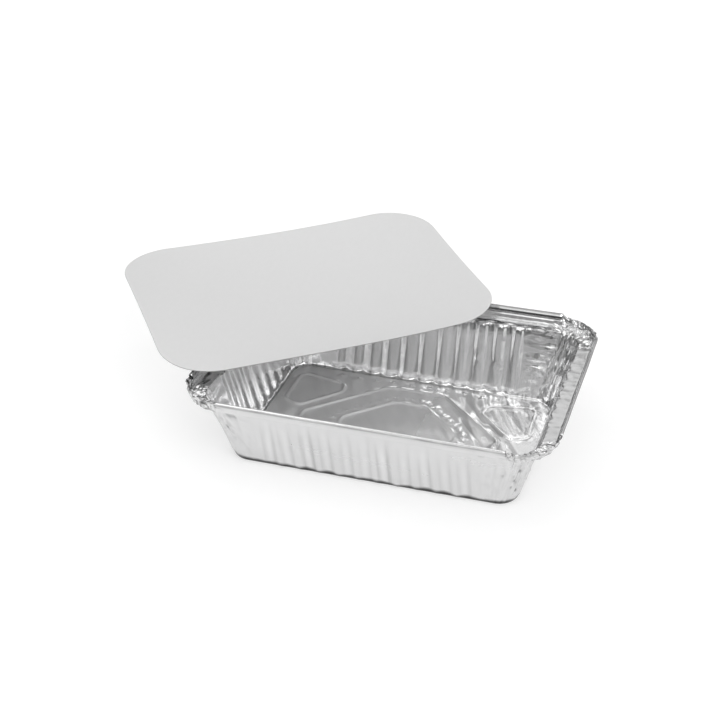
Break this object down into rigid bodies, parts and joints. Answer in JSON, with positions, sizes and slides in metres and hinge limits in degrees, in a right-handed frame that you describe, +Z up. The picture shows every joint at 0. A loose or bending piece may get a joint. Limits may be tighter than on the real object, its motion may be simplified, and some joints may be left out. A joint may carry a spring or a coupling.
{
  "type": "foil food container",
  "caption": "Pressed aluminium foil food tray with ribbed tapering walls, a flange and rolled rim, and a loose white board lid resting askew on the rim.",
  "frame": {"origin": "middle of the tray's flat bottom, on the surface it stands on", "axes": "+X along the tray's long side, +Y to its back, +Z up"},
  "size_m": [0.2883, 0.2417, 0.0599],
  "materials": {
    "foil": "bright rolled foil, crinkled at the corners",
    "board": "smooth pale grey coated board"
  },
  "bodies": {
    "root": {"foil_tray": "foil", "board_lid": "board"}
  },
  "joints": []
}
